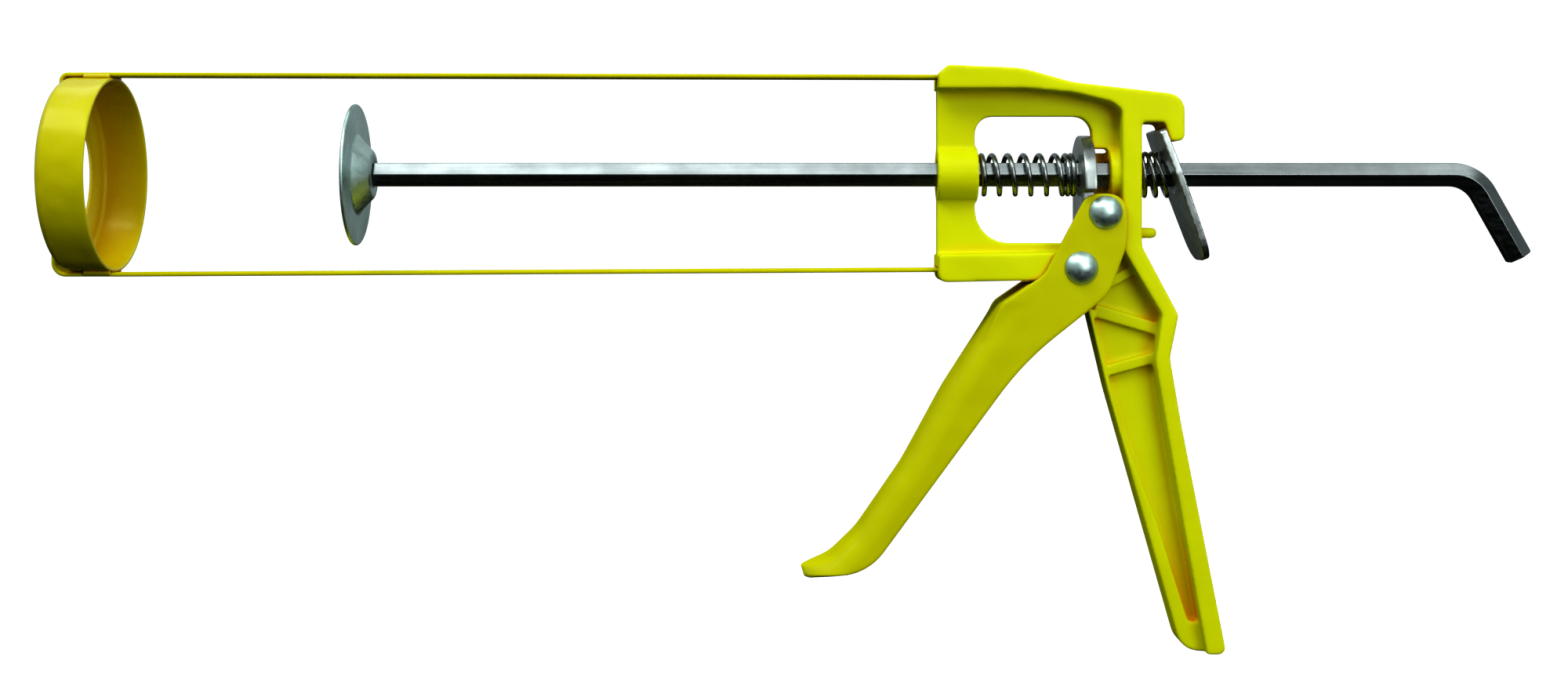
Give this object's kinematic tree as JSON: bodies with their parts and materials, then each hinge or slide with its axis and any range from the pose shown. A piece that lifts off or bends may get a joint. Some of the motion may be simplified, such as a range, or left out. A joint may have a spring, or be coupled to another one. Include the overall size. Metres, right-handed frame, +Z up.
{
  "type": "caulking gun",
  "caption": "Skeleton caulking gun: front cartridge cup on two flat strips, moulded pistol frame, hinged trigger, sliding hexagonal push rod with thrust disc and bent tail.",
  "frame": {"origin": "centre of the cartridge cup's bore", "axes": "+X runs back along the push rod, from the cup towards the rod's bent tail; +Z is up, away from the handle; +Y is across the gun"},
  "size_m": [0.3954, 0.0522, 0.156],
  "materials": {
    "plastic": "glossy yellow moulding",
    "paint": "glossy yellow paint",
    "rod_steel": "drawn steel",
    "plate_steel": "dull pressed steel",
    "zinc": "zinc plated",
    "spring_steel": "bright wire"
  },
  "bodies": {
    "frame": {"frame_handle": "plastic", "front_cup": "paint", "cup_welds": "paint", "top_strip": "paint", "bottom_strip": "paint", "pivot_rivet": "zinc", "drive_spring": "spring_steel", "return_spring": "spring_steel"},
    "trigger": {"trigger": "paint", "drive_rivet": "zinc"},
    "drive_plate": {"drive_plate": "plate_steel"},
    "plunger": {"thrust_disc": "zinc", "disc_washer": "zinc"},
    "rod": {"push_rod": "rod_steel"},
    "release_plate": {"release_plate": "plate_steel"}
  },
  "joints": [
    {"name": "trigger_pull", "type": "hinge", "parent": "frame", "child": "trigger", "pos_m": [0.2649, 0, -0.0247], "axis": [0, -1, 0], "range_deg": [0, 42], "stiffness_Nm_per_rad": 0.6, "springref_deg": -17.19},
    {"name": "drive_plate_slide", "type": "slide", "parent": "frame", "child": "drive_plate", "axis": [-1, 0, 0], "range_m": [0, 0.0116], "deforming": ["drive_spring"]},
    {"name": "rod_slide", "type": "slide", "parent": "frame", "child": "plunger", "axis": [1, 0, 0], "range_m": [-0.062, 0.148]},
    {"name": "rod_turn", "type": "hinge", "parent": "plunger", "child": "rod", "pos_m": [0.0724, 0, 0], "axis": [1, 0, 0], "continuous": true},
    {"name": "release_press", "type": "hinge", "parent": "frame", "child": "release_plate", "pos_m": [0.2864, 0, 0.0119], "axis": [0, 1, 0], "range_deg": [0, 14], "stiffness_Nm_per_rad": 0.3, "springref_deg": -17.19, "deforming": ["return_spring"]}
  ],
  "couplings": [
    {"joint": "drive_plate_slide", "follows": "trigger_pull", "m_per_rad": 0.0157}
  ]
}
